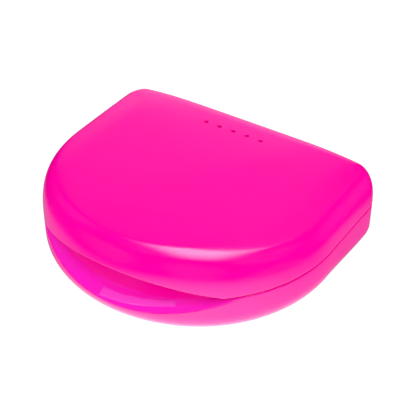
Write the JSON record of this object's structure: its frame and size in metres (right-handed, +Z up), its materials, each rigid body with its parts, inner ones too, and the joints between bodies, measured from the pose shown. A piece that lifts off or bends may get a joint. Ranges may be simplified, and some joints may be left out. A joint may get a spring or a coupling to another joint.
{
  "type": "mouthguard with case",
  "caption": "Hinged D-shaped plastic case with a thumb recess and vent holes, holding a two-layer boxing mouthguard that lifts out.",
  "frame": {"origin": "on the resting surface, under the middle of the closed case's bounding box", "axes": "+X along the hinge, +Y back towards the hinge, +Z up out of the lid"},
  "size_m": [0.08, 0.0724, 0.0258],
  "materials": {
    "case_plastic": "glossy moulded polypropylene, hot pink",
    "pin_steel": "drawn stainless wire",
    "guard_rubber": "satin black EVA",
    "liner_gel": "soft translucent pink gel"
  },
  "bodies": {
    "base": {"base_shell": "case_plastic", "hinge_pin": "pin_steel"},
    "lid": {"lid_shell": "case_plastic"},
    "guard": {"guard_shell": "guard_rubber", "guard_liner": "liner_gel"}
  },
  "joints": [
    {"name": "lid_hinge", "type": "hinge", "parent": "base", "child": "lid", "pos_m": [0, 0.03403, 0.0127], "axis": [-1, 0, 0], "range_deg": [0, 175]},
    {"name": "guard_lift", "type": "slide", "parent": "base", "child": "guard", "axis": [0, 0, 1], "range_m": [0, 0.001]}
  ]
}
